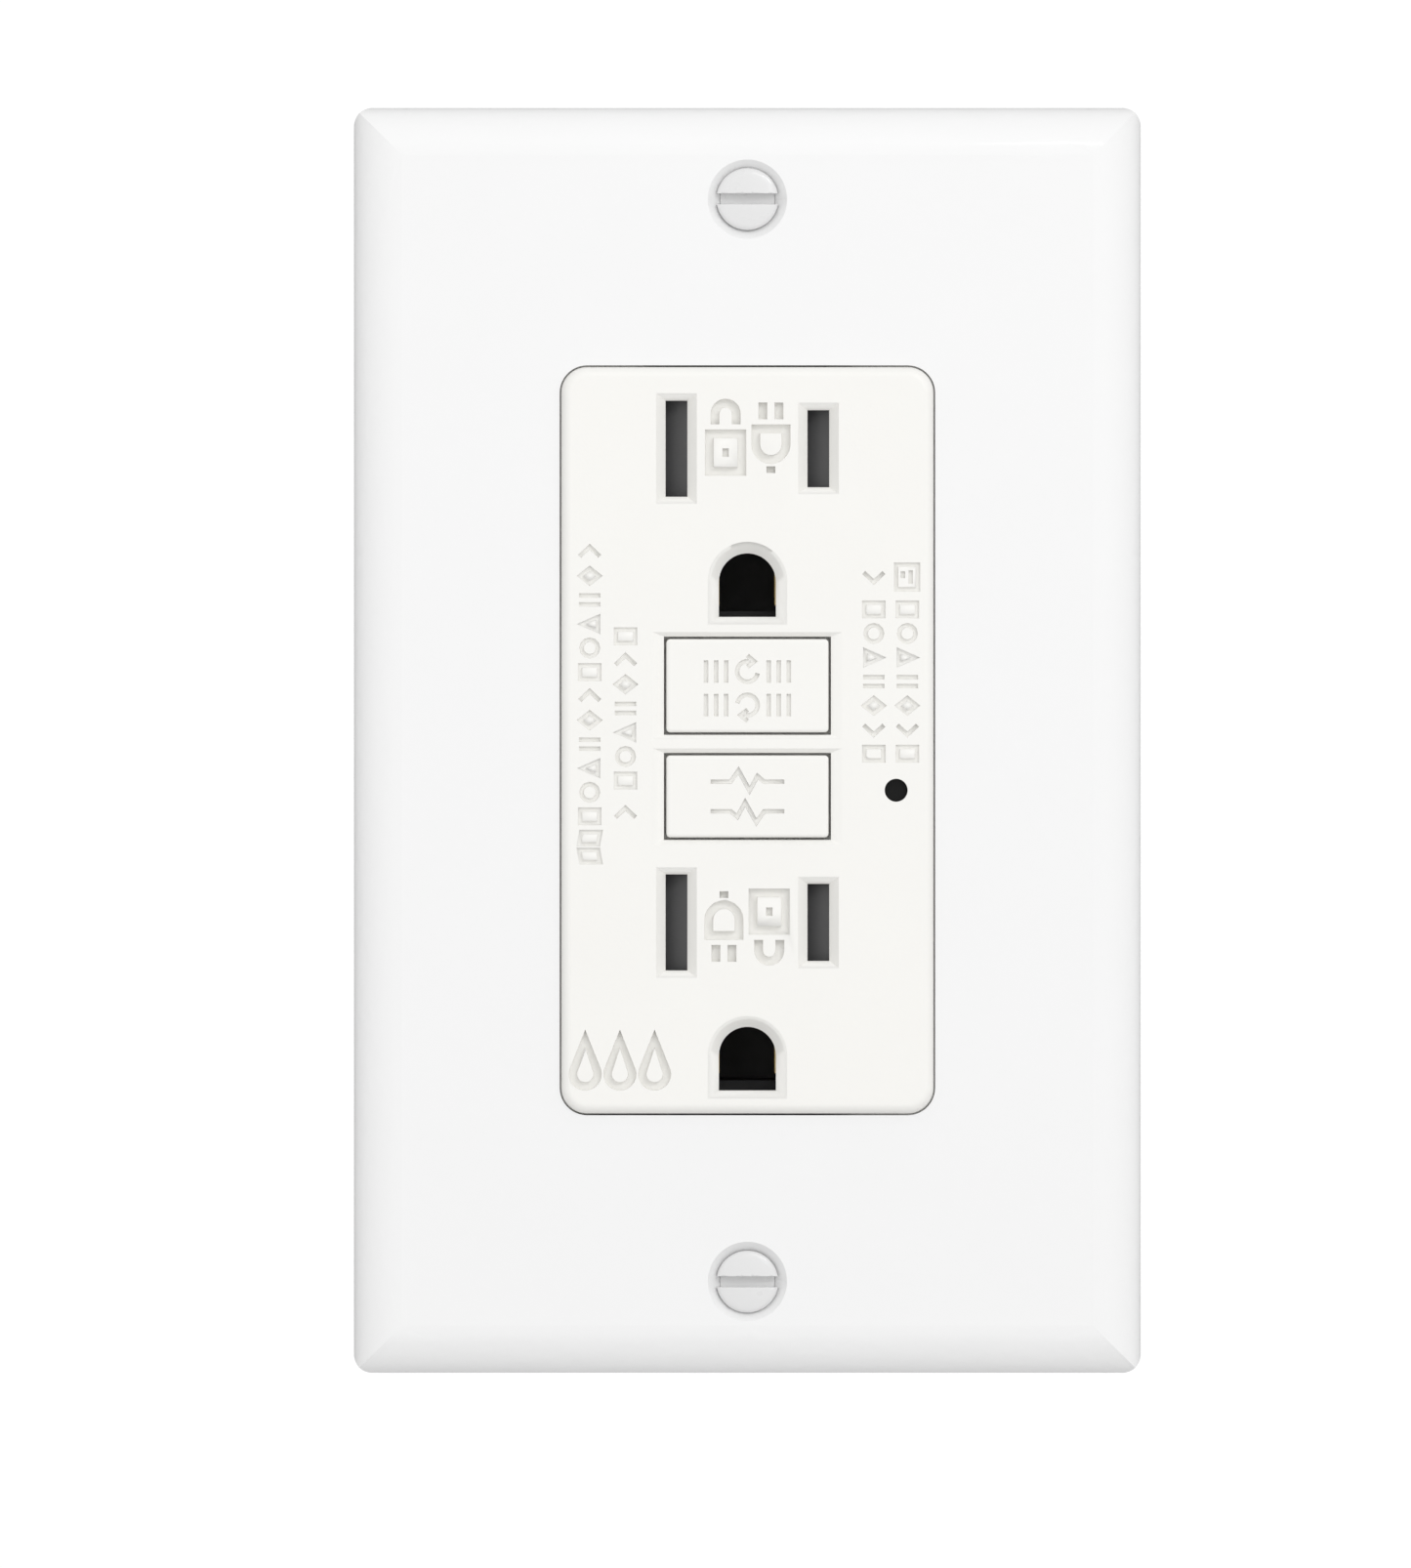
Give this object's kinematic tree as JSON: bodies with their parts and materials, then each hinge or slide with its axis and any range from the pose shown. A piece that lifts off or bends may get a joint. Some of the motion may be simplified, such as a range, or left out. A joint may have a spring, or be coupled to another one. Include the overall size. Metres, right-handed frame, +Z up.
{
  "type": "gfci outlet",
  "caption": "Ground-fault receptacle with reset and test buttons, sliding shutters behind its slots, clamp terminals, a mounting strap and a bevelled wall plate.",
  "frame": {"origin": "centre of the strap's screw pattern on the wall plane, which is y = 0", "axes": "+Z up, +Y into the wall, -Y out of the front face, +X to the right as seen from the front"},
  "size_m": [0.0706, 0.0375, 0.1134],
  "materials": {
    "plate_white": "smooth cool-white gloss",
    "face_white": "fine matte warm white",
    "button_white": "fine satin warm white",
    "white_screw": "white enamel over steel",
    "shutter_grey": "dark grey moulded plastic",
    "guide_grey": "dark moulded plastic",
    "tray_plastic": "dark grey moulded plastic",
    "housing_plastic": "pale grey moulded plastic",
    "zinc_steel": "zinc-plated sheet steel",
    "screw_steel": "zinc-plated steel",
    "spring_steel": "drawn spring wire",
    "brass": "rolled brass sheet",
    "brass_screw": "bright brass",
    "nickel_screw": "nickel-plated steel",
    "contact_silver": "silver alloy",
    "green_screw": "green dyed steel",
    "fibre": "pressed fibre",
    "dark_lens": "dark tinted light pipe",
    "led_lens": "diffusing resin",
    "board_green": "solder mask over laminate",
    "component_black": "moulded epoxy",
    "coil_black": "moulded nylon",
    "ferrite": "varnished winding on a core",
    "copper": "enamelled copper wire",
    "bobbin_plastic": "natural nylon",
    "varistor_blue": "dipped epoxy",
    "capacitor_yellow": "taped film",
    "resistor_tan": "lacquered body"
  },
  "bodies": {
    "reset_key": {"reset_button": "button_white", "reset_pin": "screw_steel"},
    "test_key": {"test_button": "button_white"},
    "upper_shutter": {"shutter_slider_upper": "shutter_grey"},
    "lower_shutter": {"shutter_slider_lower": "shutter_grey"},
    "trip_plunger": {"plunger": "screw_steel"},
    "contact_carriage": {"latch_block": "coil_black"},
    "latch": {"latch_plate": "zinc_steel"},
    "hot_arm": {"contact_arm_hot": "brass", "moving_contact_hot": "contact_silver"},
    "neutral_arm": {"contact_arm_neutral": "brass", "moving_contact_neutral": "contact_silver"},
    "ground_terminal": {"ground_screw": "green_screw"},
    "screw_line_neutral": {"terminal_screw_line_neutral": "nickel_screw"},
    "clamp_line_neutral": {"clamp_plate_line_neutral": "zinc_steel"},
    "screw_load_neutral": {"terminal_screw_load_neutral": "nickel_screw"},
    "clamp_load_neutral": {"clamp_plate_load_neutral": "zinc_steel"},
    "screw_line_hot": {"terminal_screw_line_hot": "brass_screw"},
    "clamp_line_hot": {"clamp_plate_line_hot": "zinc_steel"},
    "screw_load_hot": {"terminal_screw_load_hot": "brass_screw"},
    "clamp_load_hot": {"clamp_plate_load_hot": "zinc_steel"},
    "device": {"capacitors": "capacitor_yellow", "circuit_board": "board_green", "contact_rivets": "brass", "control_chip": "component_black", "diodes": "component_black", "face_cover": "face_white", "fixed_contacts": "contact_silver", "ground_contact_lower": "brass", "ground_contact_upper": "brass", "hot_contact_strip": "brass", "housing_screws": "screw_steel", "indicator_led": "led_lens", "indicator_light_pipe": "dark_lens", "line_conductors": "copper", "line_hot_terminal": "brass", "line_neutral_terminal": "brass", "middle_housing": "tray_plastic", "mounting_screws": "screw_steel", "mounting_strap": "zinc_steel", "neutral_contact_strip": "brass", "plate_screws": "white_screw", "plunger_spring": "spring_steel", "rear_housing": "housing_plastic", "reset_spring": "spring_steel", "resistors": "resistor_tan", "screw_retainers": "fibre", "sensor_case": "coil_black", "sensor_cores": "ferrite", "shutter_guide_lower": "guide_grey", "shutter_guide_upper": "guide_grey", "shutter_spring_lower": "spring_steel", "shutter_spring_upper": "spring_steel", "solenoid_bobbin": "bobbin_plastic", "solenoid_frame": "zinc_steel", "solenoid_winding": "copper", "test_leaf": "brass", "thyristor": "component_black", "varistor": "varistor_blue", "wall_plate": "plate_white"}
  },
  "joints": [
    {"name": "reset_press", "type": "slide", "parent": "device", "child": "reset_key", "axis": [0, 1, 0], "range_m": [0, 0.0025], "stiffness_N_per_m": 900, "springref_m": -0.001, "deforming": ["reset_spring"]},
    {"name": "test_press", "type": "slide", "parent": "device", "child": "test_key", "axis": [0, 1, 0], "range_m": [0, 0.0012], "stiffness_N_per_m": 900, "springref_m": -0.001, "deforming": ["test_leaf"]},
    {"name": "trip", "type": "slide", "parent": "device", "child": "trip_plunger", "axis": [0, 0, -1], "range_m": [0, 0.0012], "stiffness_N_per_m": 250, "springref_m": -0.001, "deforming": ["plunger_spring"]},
    {"name": "carriage_drop", "type": "slide", "parent": "device", "child": "contact_carriage", "axis": [0, 1, 0], "range_m": [0, 0.001]},
    {"name": "latch_release", "type": "slide", "parent": "contact_carriage", "child": "latch", "axis": [0, 0, -1], "range_m": [0, 0.0012]},
    {"name": "upper_shutter_slide", "type": "slide", "parent": "device", "child": "upper_shutter", "axis": [1, 0, 0], "range_m": [0, 0.0026], "stiffness_N_per_m": 300, "springref_m": -0.001, "deforming": ["shutter_spring_upper"]},
    {"name": "lower_shutter_slide", "type": "slide", "parent": "device", "child": "lower_shutter", "axis": [1, 0, 0], "range_m": [0, 0.0026], "stiffness_N_per_m": 300, "springref_m": -0.001, "deforming": ["shutter_spring_lower"]},
    {"name": "neutral_arm_bend", "type": "hinge", "parent": "device", "child": "neutral_arm", "pos_m": [-0.0098, 0.0151, -0.012], "axis": [-1, 0, 0], "range_deg": [0, 3.14]},
    {"name": "screw_turn_line_neutral", "type": "hinge", "parent": "device", "child": "screw_line_neutral", "pos_m": [-0.019, 0.0196, -0.017], "axis": [-1, 0, 0], "range_deg": [-440, 800]},
    {"name": "clamp_slide_line_neutral", "type": "slide", "parent": "device", "child": "clamp_line_neutral", "axis": [1, 0, 0], "range_m": [-0.00097, 0.00176]},
    {"name": "screw_turn_load_neutral", "type": "hinge", "parent": "device", "child": "screw_load_neutral", "pos_m": [-0.019, 0.0196, 0.017], "axis": [-1, 0, 0], "range_deg": [-440, 800]},
    {"name": "clamp_slide_load_neutral", "type": "slide", "parent": "device", "child": "clamp_load_neutral", "axis": [1, 0, 0], "range_m": [-0.00097, 0.00176]},
    {"name": "hot_arm_bend", "type": "hinge", "parent": "device", "child": "hot_arm", "pos_m": [0.0098, 0.0151, -0.012], "axis": [-1, 0, 0], "range_deg": [0, 3.14]},
    {"name": "screw_turn_line_hot", "type": "hinge", "parent": "device", "child": "screw_line_hot", "pos_m": [0.019, 0.0196, -0.017], "axis": [1, 0, 0], "range_deg": [-440, 800]},
    {"name": "clamp_slide_line_hot", "type": "slide", "parent": "device", "child": "clamp_line_hot", "axis": [-1, 0, 0], "range_m": [-0.00097, 0.00176]},
    {"name": "screw_turn_load_hot", "type": "hinge", "parent": "device", "child": "screw_load_hot", "pos_m": [0.019, 0.0196, 0.017], "axis": [1, 0, 0], "range_deg": [-440, 800]},
    {"name": "clamp_slide_load_hot", "type": "slide", "parent": "device", "child": "clamp_load_hot", "axis": [-1, 0, 0], "range_m": [-0.00097, 0.00176]},
    {"name": "ground_screw_slide", "type": "slide", "parent": "device", "child": "ground_terminal", "axis": [0, 0, -1], "range_m": [0, 0.0025]}
  ],
  "couplings": [
    {"joint": "carriage_drop", "follows": "trip", "ratio": 0.8333},
    {"joint": "latch_release", "follows": "trip", "ratio": 1},
    {"joint": "neutral_arm_bend", "follows": "trip", "rad_per_m": 45.6},
    {"joint": "screw_turn_line_neutral", "follows": "clamp_slide_line_neutral", "rad_per_m": 7915.8},
    {"joint": "screw_turn_load_neutral", "follows": "clamp_slide_load_neutral", "rad_per_m": 7915.8},
    {"joint": "hot_arm_bend", "follows": "trip", "rad_per_m": 45.6},
    {"joint": "screw_turn_line_hot", "follows": "clamp_slide_line_hot", "rad_per_m": 7915.8},
    {"joint": "screw_turn_load_hot", "follows": "clamp_slide_load_hot", "rad_per_m": 7915.8}
  ]
}
